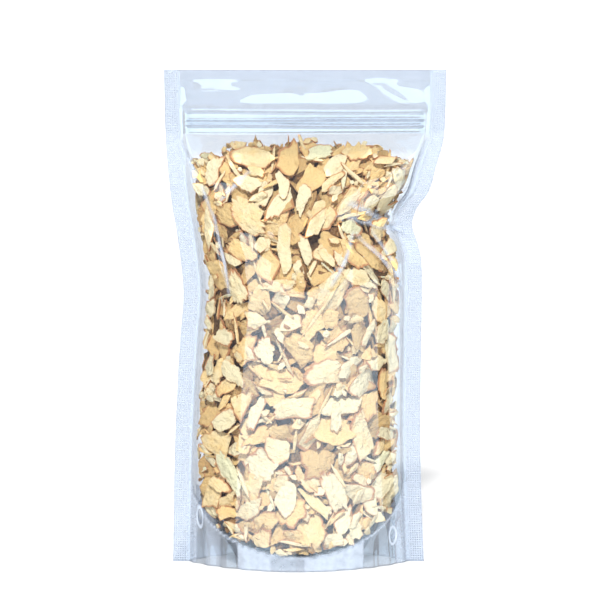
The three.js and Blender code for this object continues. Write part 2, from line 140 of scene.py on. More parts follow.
def along_at(x, z):
    """The distance over the film of the place at x, at a height."""
    centre, chord, angle, _ = section(z)
    sine = np.clip((x - centre) * np.sin(angle) / chord, -0.999, 0.999)
    return FREE * np.arcsin(sine) / angle


def skirt(share):
    """The height of the seal that joins the base sheet to a panel, as a share of the way out: a
    power of 1 - sqrt(1 - share ** 2), so that it runs level in the middle and steepens."""
    return SKIRT_MIDDLE + SKIRT_CLIMB * (1 - np.sqrt(np.maximum(1 - share**2, 0))) ** 0.85


def ripple(seed, size, *places):
    """Smooth noise, mostly between -1 and 1, with bumps of the given size: a fifth of the sum of
    ten cosine waves that run in seeded directions."""
    random = np.random.default_rng(seed)
    total = 0
    for _ in range(10):
        way = random.normal(size=len(places))
        way *= 2 * np.pi / size * random.uniform(0.6, 1.4) / np.linalg.norm(way)
        total = total + np.cos(sum(w * p for w, p in zip(way, places)) + random.uniform(0, 6.3))
    return total / 5


CREASES = [  # from one (x, height) to another, with the furrow's width and depth
    ((-58, 197), (-42, 161), 1.6, 1.4), ((-43, 165), (-37, 137), 1.5, 1.1),
    ((56, 197), (42, 163), 1.8, 1.5), ((40, 158), (47, 152), 1.8, 1.2),
    ((20, 163), (46, 155), 1.3, 1.1), ((24, 155), (43, 134), 1.3, 1.2),
    ((31, 157), (45, 129), 1.3, 1.1), ((22, 156), (12, 133), 1.8, 0.6),
    ((-39, 148), (-35, 128), 1.8, 0.5), ((38, 160), (20, 170), 2.4, 0.6),
    ((-40, 170), (-26, 184), 2.6, 0.5),
]
WAVES = [  # the same in the header
    ((-52, 221), (-30, 220), 3.2, 0.7), ((28, 226), (52, 212), 3.6, 0.8),
    ((-4, 222), (-1, 219), 1.2, 0.2), ((-28, 213), (0, 214), 2.6, 0.6),
    ((4, 214), (24, 213), 2.4, 0.5),
]
BEADS = [(211, 0.6), (207.2, 0.6), (204.6, 0.6), (200.6, 0.7)]  # heights and widths, at the zip
BEAD_DEPTH = 0.5


def fold(along, z, start, end, width, depth):
    """A crease from one (x, height) to another: depth * exp(-(gap / width) ** 2) at a gap from
    the line between them, times a power of a sine that fades it at both ends."""
    (x0, z0), (x1, z1) = start, end
    a0, a1 = along_at(x0, z0), along_at(x1, z1)
    reach = (a1 - a0) ** 2 + (z1 - z0) ** 2
    t = np.clip(((along - a0) * (a1 - a0) + (z - z0) * (z1 - z0)) / reach, 0, 1)
    gap = np.hypot(along - a0 - t * (a1 - a0), z - z0 - t * (z1 - z0))
    return depth * np.exp(-((gap / width) ** 2)) * np.sin(np.pi * (0.08 + 0.84 * t)) ** 0.7


def wrinkles(side, along, z):
    """How far the film lies behind its even form: the sum of the creases that run from the zip's
    ends and the nipped edge, a ripple in the loose film above the belly, another one and the waves
    in the header, a sine across the skirt for its flutes, and the beads along the zip."""
    depth = 0.12 + 0 * along * z
    for start, end, width, deep in CREASES:
        depth = depth + fold(along, z, start, end, width, deep)
    inside = 1 - ease(np.abs(along), FREE - 5, FREE)
    loose = ease(z, 128, 160) * (1 - ease(z, 190, 199))
    depth += loose * inside * 0.35 * (1 + ripple(3 + side, 17, along * 1.3, z))
    header = ease(z, 212, 214) * (1 - ease(z, 223, TOP_SEAL))
    depth += header * inside * 0.2 * (1 + ripple(8 + side, 26, along * 0.9, z * 1.2))
    for start, end, width, deep in WAVES:
        depth += header * inside * fold(along, z, start, end, width, deep)
    below = np.clip((skirt(along / FREE) - z) / 12, 0, 1) * ease(np.abs(along), 10, 24)
    depth += below * inside * (0.5 + 0.5 * np.sin(along * 0.62 + 1.3 + 0.03 * z))
    for height, width in BEADS:
        sag = 0.3 * np.sin(along * 0.045 + height)
        depth += inside * BEAD_DEPTH * np.exp(-(((z - height - sag) / width) ** 2))
    return depth


class Value:
    """A shader socket that can be added, multiplied and raised to a power like a number. Each
    operator makes one Math node."""

    def __init__(self, tree, socket):
        self.tree = tree
        self.socket = socket

    def math(self, operation, *others):
        return node(self.tree, "ShaderNodeMath", [self, *others], operation=operation)

    def __add__(self, other):
        return self.math("ADD", other)

    def __sub__(self, other):
        return self.math("SUBTRACT", other)

    def __mul__(self, other):
        return self.math("MULTIPLY", other)

    def __pow__(self, other):
        return self.math("POWER", other)

    def __rsub__(self, other):
        return node(self.tree, "ShaderNodeMath", [other, self], operation="SUBTRACT")

    __radd__ = __add__
    __rmul__ = __mul__

    def ease(self, low, high):
        """0 below low and 1 above high, with a smooth rise between them."""
        limits = [self, low, high, 0.0, 1.0]
        return node(self.tree, "ShaderNodeMapRange", limits, interpolation_type="SMOOTHSTEP")

    def blend(self, first, second):
        """The colour first where this is 0 and second where it is 1."""
        colours = {0: self, 6: first, 7: second}
        return node(self.tree, "ShaderNodeMix", colours, 2, data_type="RGBA")


def node(tree, kind, inputs=(), output=0, **settings):
    """One shader node, with its settings and its inputs by place or name. An input is a Value to
    link or a plain number or colour. Returns the output as a Value."""
    made = tree.nodes.new(kind)
    for name, setting in settings.items():
        setattr(made, name, setting)
    for place, value in (inputs if isinstance(inputs, dict) else dict(enumerate(inputs))).items():
        if isinstance(value, Value):
            tree.links.new(value.socket, made.inputs[place])
        else:
            made.inputs[place].default_value = value
    return Value(tree, made.outputs[output]) if made.outputs else None


def attribute(tree, name, output="Fac"):
    """What a piece's mesh says about itself at each point."""
    return node(tree, "ShaderNodeAttribute", output=output, attribute_name=name)


def new_material(name):
    """An empty material and its node tree."""
    material = bpy.data.materials.new(name)
    material.use_nodes = True
    material.node_tree.nodes.clear()
    return material, material.node_tree


FILM_TINT = (0.92, 0.935, 0.957, 1)
LAYERS_TINT = (0.83, 0.85, 0.875, 1)
GLOSS_TINT = (0.95, 0.97, 1, 1)
MILK_BLUE = (0.66, 0.735, 0.85, 1)
KNURL = 2.9  # radians for each millimetre, so that the diamonds are 1.1 mm apart
NOTCHES = [  # each one's place along the film, height, half width and half height
    (-51, 22.3, 2.1, 4.8), (49, 13.8, 2.6, 4.1),
]


def film_material(name, haze, seal_haze, shine, tint):
    """Clear laminate: it passes light with a faint tint, and less where layers says that sheets
    lie close together. It mirrors more where it is seen aslant and in the header, and is milky
    where seal says that it is sealed. place holds the distance along the film, the height
    and how deep the knurl is: the product of two crossed sines. Two milky rings show where the
    panels are joined to each other through notches in the base sheet."""
    material, tree = new_material(name)
    seal, place = attribute(tree, "seal"), attribute(tree, "place", "Vector")
    along, height, pressed = (
        node(tree, "ShaderNodeSeparateXYZ", [place], axis) for axis in ("X", "Y", "Z")
    )
    rising, falling = (along + height) * KNURL, (along - height) * KNURL
    knurl = rising.math("SINE") * falling.math("SINE") * pressed
    bump = node(tree, "ShaderNodeBump", {"Strength": 0.5, "Distance": 0.0005, "Height": knurl})
    facing = node(tree, "ShaderNodeLayerWeight", {"Blend": 0.5}, "Facing")
    mirror = (facing**4 * 0.75 + 0.05) * shine * (height.ease(200, 201.5) * 1.5 + 1)
    grey = node(tree, "ShaderNodeTexNoise", {"Vector": place, "Scale": 0.35, "Detail": 3.0})
    milk = (seal * (seal_haze - haze) + haze) * (knurl * 0.8 + 1) * (grey * 0.6 + 0.7)
    for middle, low, wide, tall in NOTCHES:
        far = (((along - middle) * (1 / wide)) ** 2 + ((height - low) * (1 / tall)) ** 2) ** 0.5
        milk = milk + (1 - far).math("ABSOLUTE").ease(0.3, 0.05) * 0.5
    single = node(tree, "ShaderNodeBsdfTransparent", [tint])
    double = node(tree, "ShaderNodeBsdfTransparent", [LAYERS_TINT])
    clear = node(tree, "ShaderNodeMixShader", [attribute(tree, "layers"), single, double])
    polish = {"Color": GLOSS_TINT, "Roughness": 0.06, "Normal": bump}
    gloss = node(tree, "ShaderNodeBsdfAnisotropic", polish)
    milkiness = {"Base Color": MILK_BLUE, "Roughness": 0.35, "Normal": bump}
    dull = node(tree, "ShaderNodeBsdfPrincipled", milkiness)
    sheet = node(tree, "ShaderNodeMixShader", [mirror, clear, gloss])
    whole = node(tree, "ShaderNodeMixShader", [milk, sheet, dull])
    node(tree, "ShaderNodeOutputMaterial", [whole])
    return material


def add_object(name, data):
    """An object at the origin, in the scene."""
    made = bpy.data.objects.new(name, data)
    bpy.context.scene.collection.objects.link(made)
    return made


def make_mesh(name, points, faces, material, **attributes):
    """A smooth-shaded object from points in millimetres and lists of faces by point number, with
    one float or vector attribute on its points for each further name."""
    mesh = bpy.data.meshes.new(name)
    rows = [row for group in faces for row in group.tolist()]
    mesh.from_pydata((points.reshape(-1, 3) / 1000).tolist(), [], rows)
    for title, values in attributes.items():
        single = values.size == len(mesh.vertices)
        layer = mesh.attributes.new(title, "FLOAT" if single else "FLOAT_VECTOR", "POINT")
        layer.data.foreach_set("value" if single else "vector", values.ravel())
    mesh.shade_smooth()
    mesh.materials.append(material)
    return add_object(name, mesh)


def grid_faces(rows, columns):
    """The quads of a grid of points stored row by row."""
    at = np.arange(rows * columns).reshape(rows, columns)
    return np.stack([at[:-1, :-1], at[:-1, 1:], at[1:, 1:], at[1:, :-1]], -1).reshape(-1, 4)


def film_sheet(name, points, replaced, **attributes):
    """A sheet of the clear film from a grid of points on its middle surface."""
    made = make_mesh(name, points, [grid_faces(*points.shape[:2])], FILM_LOOK, **attributes)
    thickness = made.modifiers.new("thickness", "SOLIDIFY")
    thickness.thickness = FILM / 1000
    thickness.offset = 0
    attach(made, "root")
    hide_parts(replaced)


BONDS = [  # how firmly the skirt is bonded to the base sheet, at distances along the film
    (-56, 0.9), (-53.6, 0.9), (-53, 0.1), (-47.8, 0.1), (-47, 0.6), (-39, 0.6), (-38, 0.2),
    (-29.5, 0.2), (-28.7, 1.6), (-13.4, 1.6), (-12.6, 1), (2.6, 1), (3.4, 1.7), (31, 1.7),
    (32, 0.3), (50, 0.3), (51, 0.9),
]
ZIP_LINES = [(210.7, 0.9), (208.3, 0.5), (205.6, 0.6), (203.3, 0.6), (201.2, 0.9)]


def sealed(along):
    """1 in the side seals and 0 between them."""
    return ease(np.abs(along), FREE + 1.4, FREE + 2.2)


def milky(along, z):
    """How milky a panel is: the most of the side seals, their inner edges, the creases, the
    header, the top seal, the bonded parts of the skirt, and the line of the base seal."""
    low = skirt(along / FREE)
    rim = np.exp(-(((np.abs(along) - FREE - 1) / 0.5) ** 2))
    creases = sum(fold(along, z, start, end, 0.8, 1.3) for start, end, _, _ in CREASES)
    bonded = np.interp(along, *np.transpose(BONDS)) * (1 - ease(z, low - 1, low + 0.3))
    line = 1.3 * np.exp(-(((z - low) / 0.6) ** 2)) * (np.abs(along) < FREE)
    return np.maximum.reduce(
        [
            sealed(along), rim * ease(z, 38, 44) * (1 - ease(z, 195, 199)), creases,
            0.35 * ease(z, 210, 212), 0.7 * ease(z, 224.6, 225.6), bonded, line,
        ]
    )


def layered(along, z):
    """How far a panel looks like several layers of film: the most of the header, the skirt, the
    headroom over the load, the strips beside the side seals, and the dark lines of the zip."""
    low = skirt(along / FREE)
    header, under = 0.4 * ease(z, 210, 212), 0.6 * (1 - ease(z, low - 1, low))
    headroom = 0.55 * ease(z, 190, 194) * (1 - ease(z, 200, 201))
    beside = 0.55 * ease(np.abs(along), FREE - 5, FREE - 3)
    lines = sum(dark * np.exp(-(((z - height) / 0.35) ** 2)) for height, dark in ZIP_LINES)
    return np.maximum.reduce([header, under, headroom, beside, lines]) * (1 - sealed(along))


FILM_LOOK = film_material("clear_film", 0.015, 0.3, 1, FILM_TINT)
ALONG = np.linspace(-FREE - SEAL, FREE + SEAL, 161)
HEIGHTS = np.concatenate(  # closer together at the zip
    [np.linspace(0, 198, 181), np.linspace(198, 214, 33)[1:], np.linspace(214, HEIGHT, 16)[1:]]
)
for side, title in ((-1, "front_film"), (1, "back_film")):
    along, z = np.meshgrid(ALONG[::-side], HEIGHTS)
    points = behind(side, along, z, wrinkles(side, along, z))
    points[..., 2] = np.clip(points[..., 2], 0, HEIGHT)
    film_sheet(
        title + "_clear", points, title, seal=milky(along, z), layers=layered(along, z),
        place=np.stack([along, z, sealed(along)], -1),
    )


# The base. A third sheet of the same laminate is folded in two and sealed between the panels along
# a broad U. The load has opened it into a floor that is flat in the middle, with its fold climbing
# towards the side seals.
BASE_INSET = 0.85  # its edges lie this far behind the panels
BASE_REACH = 0.96  # it ends at this share of the way to the side seals
KEEL, KEEL_CLIMB = 0.2, 36


def climbing(share):
    """How far the fold has climbed, from 0 in the middle to 1 at the sides."""
    return ease(np.abs(share), 0.42, BASE_REACH)


def base_sheet(share, depth):
    """The base sheet's middle surface. depth runs from -1 at the front panel to 1 at the back.
    In the middle the height goes as the square of what depth has beyond 0.6, and at the sides as
    depth ** 1.5."""
    height = skirt(share)
    front = behind(-1, share * FREE, height, BASE_INSET)
    back = behind(1, share * FREE, height, BASE_INSET)
    sides = climbing(share)
    keel = KEEL + KEEL_CLIMB * sides
    climb = np.maximum((np.abs(depth) - 0.6) / 0.4, 0) ** 2
    rise = climb + (np.abs(depth) ** 1.5 - climb) * sides
    point = front + (back - front) * ((depth + 1) / 2)[..., None]
    point[..., 2] = keel + (height - keel) * rise
    return point


shares = BASE_REACH * np.sin(np.linspace(-np.pi / 2, np.pi / 2, 91))  # closer at the sides
share, depth = np.meshgrid(shares, np.linspace(1, -1, 61))
points = base_sheet(share, depth)
points[..., 2] += 0.25 * (1 + ripple(21, 14, points[..., 0], points[..., 1])) * (1 - np.abs(depth))
film_sheet(
    "base_clear", points, "bottom_gusset", seal=0.3 * ease(np.abs(depth), 0.93, 1),
    place=points * (1, 1, 0),
)


# The zip. Two strips of softer translucent plastic are welded inside the panels, the front one
# with a headed rib and the back one with two hooked lips that the rib snaps between.
ZIP_LOOK = film_material("zip_plastic", 0.04, 0.2, 0.12, (0.988, 0.993, 0.997, 1))
ZIP_HEIGHT, ZIP_HALF = 205.8, 54.6
RIB = [  # the outline of its cut, as (y, height)
    (-1.45, -5), (-1.1, -5), (-1.1, -0.5), (0.1, -0.5), (0.1, -0.9), (0.45, -0.75), (0.6, 0),
    (0.45, 0.75), (0.1, 0.9), (0.1, 0.5), (-1.1, 0.5), (-1.1, 4.8), (-1.45, 4.8),
]
CHANNEL = [
    (1.45, -5), (1.45, 4.8), (1.1, 4.8), (1.1, 2), (-0.5, 2), (-0.7, 1.8), (-0.7, 0.85),
    (-0.25, 0.85), (-0.25, 1.3), (1.1, 1.3), (1.1, -1.3), (-0.25, -1.3), (-0.25, -0.85),
    (-0.7, -0.85), (-0.7, -1.8), (-0.5, -2), (1.1, -2), (1.1, -5),
]
for title, profile in (("zip_rib", RIB), ("zip_channel", CHANNEL)):
    stations = np.linspace(-ZIP_HALF, ZIP_HALF, 91)[:, None]
    y, z = np.transpose(profile)
    sag = 0.25 * np.sin(stations * 0.06 + 0.8) * np.clip(1 - np.abs(stations) / 56, 0, 1)
    points = np.stack(np.broadcast_arrays(stations, y, ZIP_HEIGHT + z + sag), -1)
    ring = np.arange(points.size // 3).reshape(points.shape[:2])
    turned = np.roll(ring, -1, 1)
    around = np.stack([ring[:-1], turned[:-1], turned[1:], ring[1:]], -1).reshape(-1, 4)
    lips = np.broadcast_to(np.exp(-((np.abs(z) - 1.4) ** 2)), ring.shape)
    faces = [around, ring[:1, ::-1], ring[-1:]]
    strip = make_mesh(title + "_strip", points, faces, ZIP_LOOK, seal=lips)
    strip.data.shade_flat()
    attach(strip, "root")
    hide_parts(title)


# The root. Horseradish is sliced across and along the root and dried hard: cream inside, gold
# where it has dried darkest, and orange-brown where a rim still has bark. The slices are thin,
# ragged and a little curled, break into splinters and crumbs, and lie loose in the pouch. Their
# colours also hold painted shade: a thin darker band round every rim, and gold going darker on
# the slices that lie deep in the heap.
CREAM = (0.93, 0.79, 0.48, 1)
GOLD = (0.92, 0.63, 0.26, 1)
GREENISH = (0.8, 0.8, 0.5, 1)
RIND_AND_RIM_SHADE = (0.62, 0.29, 0.12, 1)
DEPTH_SHADE_BROWN = (0.32, 0.16, 0.055, 1)
SPECK = (0.4, 0.22, 0.09, 1)


def root_material():
    """Dry root flesh. The grain runs along each slice, in coordinates of its own. tone varies
    from slice to slice and goes past 1 on those that lie deep, which turns them gold and darker
    still: painted shade for the dim light deep in the heap. bark is how much of the rind a place
    has kept, and on every rim also a thin darker band that is painted shade."""
    material, tree = new_material("dried_root")
    grain = attribute(tree, "grain", "Vector")
    tone, bark = attribute(tree, "tone"), attribute(tree, "bark")
    streaked = node(tree, "ShaderNodeMapping", {"Vector": grain, "Scale": (0.12, 0.9, 0.5)})
    fibres, blotch, speck, crinkle = (
        node(tree, "ShaderNodeTexNoise", {"Vector": place, "Scale": scale, "Detail": detail})
        for place, scale, detail in (
            (streaked, 1.0, 4.0), (grain, 0.16, 3.0), (grain, 0.9, 2.0), (grain, 0.42, 2.0),
        )
    )
    gold = (tone * 0.9 + blotch * 0.9 + fibres * 0.5 - 0.75).ease(0.0, 1.0)
    flesh = gold.blend(CREAM, GOLD)
    flesh = (tone.math("LESS_THAN", 0.012) * 0.5).blend(flesh, GREENISH)
    # This orange-brown is the rind and also the painted shade round every rim.
    flesh = (bark + blotch * 0.8 - 0.42).ease(0.25, 0.75).blend(flesh, RIND_AND_RIM_SHADE)
    # Slices that lie deep are blended towards this dark colour: painted shade.
    flesh = (tone - 1).ease(0.0, 1.2).blend(flesh, DEPTH_SHADE_BROWN)
    flesh = (speck.ease(0.69, 0.76) * 0.6).blend(flesh, SPECK)
    relief = fibres * 0.5 + crinkle * 2
    bump = node(tree, "ShaderNodeBump", {"Strength": 0.8, "Distance": 0.001, "Height": relief})
    look = {"Base Color": flesh, "Roughness": 0.85, "Normal": bump}
    node(tree, "ShaderNodeOutputMaterial", [node(tree, "ShaderNodeBsdfPrincipled", look)])
    return material


ROOT_LOOK = root_material()
NEAREST = 0.45  # how far behind the film's middle a slice stays


def disc_faces(spokes, rings):
    """The triangles and the quads of a closed disc: an outer face of a middle point and rings
    round it, the same again for the inner face, and the rim between them."""
    ring = 1 + np.arange(spokes * rings).reshape(rings, spokes)
    turned = np.roll(ring, -1, 1)
    shift = 1 + spokes * rings
    fan = np.stack([0 * ring[0], ring[0], turned[0]], -1)
    bands = np.stack([ring[:-1], ring[1:], turned[1:], turned[:-1]], -1).reshape(-1, 4)
    rim = np.stack([ring[-1], ring[-1] + shift, turned[-1] + shift, turned[-1]], -1)
    return np.vstack([fan, fan[:, ::-1] + shift]), np.vstack([bands, bands[:, ::-1] + shift, rim])


def slice_mesh(name, side, cut, rings, seed):
    """Many slices as one mesh. cut holds an array for each measure, with one row for each slice:
    its place over the film, its turn, half length and half width, its outline as a share of those
    for each spoke, its depth and the slopes of that depth, its curl and its thickness. A point
    on a spoke lies at a share of the outline, as deep as the slice's plane plus the curl times
    the square of its place across the width, plus noise that grows outwards. rings holds the
    shares. Behind that surface and before it lies half the thickness, less at the rim."""
    random = np.random.default_rng(seed)
    count, spokes = cut["outline"].shape
    column = {key: value[:, None] for key, value in cut.items() if key != "outline"}
    theta = np.append(0, np.tile(np.arange(spokes) / spokes * 2 * np.pi, len(rings)))
    rho = np.append(0, np.repeat(rings, spokes))
    reach = np.hstack([np.zeros((count, 1)), np.tile(cut["outline"], len(rings))]) * rho
    a, b = reach * np.cos(theta), reach * np.sin(theta)
    u, v = a * column["half_length"], b * column["half_width"]
    turn = column["turn"]
    across, upward = u * np.cos(turn) - v * np.sin(turn), u * np.sin(turn) + v * np.cos(turn)
    own = random.uniform(0, 900, (count, 1)) + 0 * u
    warp = 1.1 * ripple(seed, 12, u, v, own) * rho + 0.28 * ripple(seed + 1, 4, u, v, own)
    depth = column["depth"] + column["slope_along"] * across + column["slope_up"] * upward
    depth = depth + column["curl"] * (b**2 - 0.35) + warp * np.minimum(column["half_width"] / 5, 1)
    half = column["thickness"] / 2 * (1 - 0.3 * rho**3)
    along = np.clip(column["along"] + across, 2 - FREE, FREE - 2)
    z = column["z"] + upward
    space = film(1, along, z)[..., 1] - film(-1, along, z)[..., 1]
    layers = []
    for sign in (-1, 1):
        least = NEAREST + 0.3 * (sign + 1)
        most = np.maximum(space - 1.5, 0.6) + least - NEAREST
        layers.append(behind(side, along, z, np.clip(depth + sign * half, least, most)))
    points = np.concatenate(layers, 1)
    first = np.arange(count)[:, None, None] * points.shape[1]
    faces = [
        (shape[:, ::-side] + first).reshape(-1, shape.shape[1])
        for shape in disc_faces(spokes, len(rings))
    ]
    way = random.uniform(0, 2 * np.pi, (count, 1))
    kept = random.uniform(0, 1, (count, 1)) ** 0.9
    # The last term darkens every slice's rim, rind or not: a thin band of painted shade.
    bark = rho**4 * kept * (0.45 + 0.55 * np.cos(theta - way)) + 0.42 * rho**12
    grain = np.stack([u + own, v, own], -1)
    tone = random.uniform(0, 1, (count, 1)) ** 1.4
    # Slices more than 2.9 mm deep get a tone past 1, which paints them gold and then dark as
    # shade.
    tone = np.where(column["depth"] > 2.9, tone * 0.6 + 0.24 * column["depth"], tone)
    made = make_mesh(
        name, points, faces, ROOT_LOOK, tone=np.broadcast_to(tone, points.shape[:2]),
        bark=np.hstack([bark, bark]), grain=np.hstack([grain, grain]),
    )
    made.data.set_sharp_from_angle(angle=math.radians(50))
    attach(made, "root")
    return made


def unrolled(side, points):
    """Where points lie over the film: their distance along it, height and depth, found by
    stepping along its tangents until nothing is left over."""
    z = points[:, 2].copy()
    along = along_at(points[:, 0], z)
    depth = 0 * z
    for _ in range(8):
        here = behind(side, along, z, depth)
        across = (behind(side, along + 0.1, z, depth) - here) / 0.1
        upward = (behind(side, along, z + 0.1, depth) - here) / 0.1
        inward = (behind(side, along, z, depth + 0.1) - here) / 0.1
        tangents = np.stack([across, upward, inward], -1)
        step = np.linalg.solve(tangents, (points - here)[..., None])[..., 0]
        along, z, depth = along + step[:, 0], z + step[:, 1], depth + step[:, 2]
    return along, z, depth


LARGE_SPOKES, LARGE_RINGS, LARGE_THICKNESS = 40, [0.25, 0.45, 0.62, 0.78, 0.91, 1], 1.15
RIM_POINTS = 24  # of each solid slice, on its two faces


def columns(rows):
    """One array for each measure, from one dictionary of measures for each slice."""
    return {key: np.array([row[key] for row in rows]) for key in rows[0]}


def measured(side, names):
    """The measures of the solid slices of those names: the spread of their points gives the turn,
    the farthest ones the size and the outline, and the plane and curl that come nearest to their
    depths the rest."""
    rows = []
    for name in names:
        points = np.array([v.co for v in bpy.data.objects[name].data.vertices]) * 1000
        points = np.unique(points.round(3), axis=0)
        along, z, depth = unrolled(side, points)
        flat = np.stack([along - along.mean(), z - z.mean()], -1)
        axis = np.linalg.eigh(flat.T @ flat)[1][:, 1]
        u, v = flat @ axis, flat @ np.array([-axis[1], axis[0]])
        half_length, half_width = np.abs(u).max(), np.abs(v).max()
        a, b = u / half_length, v / half_width
        theta, reach = np.arctan2(b, a) % (2 * np.pi), np.hypot(a, b)
        rim = reach > 0.72 * np.median(np.sort(reach)[-RIM_POINTS:])
        order = np.argsort(theta[rim])
        spokes = np.arange(LARGE_SPOKES) / LARGE_SPOKES * 2 * np.pi
        outline = np.interp(spokes, theta[rim][order], reach[rim][order], period=2 * np.pi)
        terms = np.stack([1 + 0 * u, flat[:, 0], flat[:, 1], b**2 - 0.35], -1)
        fit = np.linalg.lstsq(terms, depth, rcond=None)[0]
        rows.append(
            {
                "along": along.mean(), "z": z.mean(), "turn": math.atan2(axis[1], axis[0]),
                "half_length": half_length, "half_width": half_width, "outline": outline,
                "depth": fit[0], "slope_along": fit[1], "slope_up": fit[2], "curl": fit[3],
                "thickness": LARGE_THICKNESS,
            }
        )
    return columns(rows)


def broken(random, count, spokes, corners, dents):
    """Outlines of pieces that have snapped along straight lines: polygons with uneven corners,
    given as the distance of their edges from the middle for each spoke. The line through two
    corners at distances p and q, an angle w apart, lies at pq sin w / (p sin t + q sin(w - t))
    from the middle, at an angle t past the first corner. dents is how likely a corner is to have
    broken off."""
    steps = random.uniform(0.55, 1.45, (count, corners))
    last = np.cumsum(steps, 1) / steps.sum(1, keepdims=True) * 2 * np.pi
    first = np.roll(last, 1, 1)
    first[:, 0] = 0
    far = random.uniform(0.7, 1.18, (count, corners))
    dented = random.uniform(0, 1, far.shape) < dents
    far = np.where(dented, far * random.uniform(0.6, 0.85, far.shape), far)
    theta = np.arange(spokes)[None] / spokes * 2 * np.pi + 1e-6
    which = (theta[:, :, None] > last[:, None, :]).sum(-1)
    rows = np.arange(count)[:, None]
    start, stop = first[rows, which], last[rows, which]
    p, q = far[rows, (which - 1) % corners], far[rows, which]
    reach = p * q * np.sin(stop - start) / (p * np.sin(theta - start) + q * np.sin(stop - theta))
    nicks = random.normal(0, 1, reach.shape)
    nicks = np.abs(nicks + 0.3 * np.roll(nicks, 1, 1)) * random.uniform(0.3, 1.7, (count, 1))
    turned = np.round(random.uniform(0, spokes, count)).astype(int)
    reach = reach * (1 - 0.1 * np.minimum(nicks, 2.5))
    return np.stack([np.roll(row, shift) for row, shift in zip(reach, turned)])


CELL = 1.0  # the small slices are laid with the help of a map of the film with cells of this size
SPAN_ALONG = np.arange(-72, 72.5, CELL)
SPAN_UP = np.arange(2, 202, CELL)
LOAD_TOP = 198.5
SHAPE = ("turn", "half_length", "half_width", "outline")
SMALL_SPOKES, SMALL_RINGS, SMALL_COUNT = 24, [0.8, 1], 1000
TRIES = 14  # places that are tried for each small slice


def room(side):
    """A map over the film of how deep a slice may lie: half the space between the panels, and 0
    outside the load, whose top sinks at the sides and is uneven."""
    along, z = np.meshgrid(SPAN_ALONG, SPAN_UP)
    half = (film(1, along, z)[..., 1] - film(-1, along, z)[..., 1]) / 2
    uneven = 1.5 * np.sin(along * 0.21 * side + 1) + np.sin(along * 0.5)
    top = LOAD_TOP - 9 * np.abs(along / 54) ** 3 + uneven
    inside = (z < top) & (z > skirt(along / FREE) + 0.3) & (np.abs(along) < FREE - 2.4)
    return np.where(inside, half - 0.3, 0)


def footprint(along, z, turn, half_length, half_width, outline):
    """The map cells under a slice: the block of the map that holds them, a mask in it, and how
    far the block's columns and rows are from the slice's middle."""
    reach = max(half_length, half_width) * 1.1 + CELL
    c0, c1 = np.searchsorted(SPAN_ALONG, [along - reach, along + reach])
    r0, r1 = np.searchsorted(SPAN_UP, [z - reach, z + reach])
    across, up = SPAN_ALONG[None, c0:c1] - along, SPAN_UP[r0:r1, None] - z
    a = (across * np.cos(turn) + up * np.sin(turn)) / half_length
    b = (up * np.cos(turn) - across * np.sin(turn)) / half_width
    spoke = (np.arctan2(b, a) / (2 * np.pi) * len(outline)).astype(int) % len(outline)
    mask = np.hypot(a, b) <= np.maximum(outline[spoke], 0.35)
    return (slice(r0, r1), slice(c0, c1)), mask, across, up


def scattered(random, count, spokes):
    """The measures of small slices, splinters and crumbs before they are laid, and some places
    to try for each."""
    kind = random.choice(3, count, p=(0.6, 0.22, 0.18))
    size = random.uniform(0, 1, count)
    half_length = np.choose(kind, (3.8 + 9.5 * size, 4 + 9 * size, 1.5 + 2 * size))
    breadth = random.uniform(0.35, 0.8, count)
    half_width = np.choose(kind, (half_length * breadth, 0.7 + 0.8 * size, half_length * 0.7))
    outline = broken(random, count, spokes, 7, 0.3)
    outline[kind != 1] = broken(random, count, spokes, 5, 0.15)[kind != 1]
    along, z = random.uniform(-56, 56, (count, TRIES)), random.uniform(4, 200, (count, TRIES))
    turn = random.uniform(0, np.pi, count)
    lean = random.uniform(-0.4, 0.4, (count, 2))
    thickness = random.uniform(0.6, 1.2, count) + (kind == 1) * 0.4
    curl = random.normal(0, 0.5, count) + (random.uniform(0, 1, count) > 0.86) * 2.5
    loose = {
        "turn": turn, "half_length": half_length, "half_width": half_width, "outline": outline,
        "lean": lean, "thickness": thickness, "curl": curl * (kind == 0),
    }
    return loose, np.stack([along, z], -1)


def heap(side, seed, laid, count, spokes):
    """Slices laid on the inside of a panel one after another, the way they would fall on it if it
    were a table. Each takes the lowest of several places. Its plane is the one nearest to what
    lies there, with a lean of its own, raised until it clears all but an eighth of that."""
    random = np.random.default_rng(seed)
    limit = room(side)
    level = 0.6 + np.maximum(skirt(SPAN_ALONG / FREE) + 1 - SPAN_UP[:, None], 0)
    for i, (along, z) in enumerate(zip(laid["along"], laid["z"])):
        block, mask, across, up = footprint(along, z, *(laid[key][i] for key in SHAPE))
        top = laid["depth"][i] + laid["slope_along"][i] * across + laid["slope_up"][i] * up + 0.75
        level[block] = np.where(mask, np.maximum(level[block], top), level[block])
    loose, places = scattered(random, count, spokes)
    kept = []
    for i in range(count):
        one = {key: values[i] for key, values in loose.items()}
        found = []
        for along, z in places[i]:
            block, mask, across, up = footprint(along, z, *(one[key] for key in SHAPE))
            if mask.sum() >= 3 and limit[block][mask].min() > 0:
                found.append((level[block][mask].mean(), along, z, block, mask, across, up))
        if not found:
            continue
        _, along, z, block, mask, across, up = min(found, key=lambda place: place[0])
        across, up = (far[mask] for far in np.broadcast_arrays(across, up))
        under = level[block][mask]
        terms = np.stack([1 + 0 * across, across, up], -1)
        fit = np.linalg.lstsq(terms, under, rcond=None)[0]
        slopes = np.clip(fit[1:], -0.6, 0.6) + one.pop("lean")
        plane = slopes[0] * across + slopes[1] * up
        base = np.percentile(under - plane, 88) + one["thickness"] / 2
        top = base + plane + one["thickness"] / 2
        if np.median(top - limit[block][mask]) > 0 or base > 11:
            continue
        level[block][mask] = np.maximum(under, top)
        one.update(along=along, z=z, depth=base, slope_along=slopes[0], slope_up=slopes[1])
        kept.append(one)
    return columns(kept)


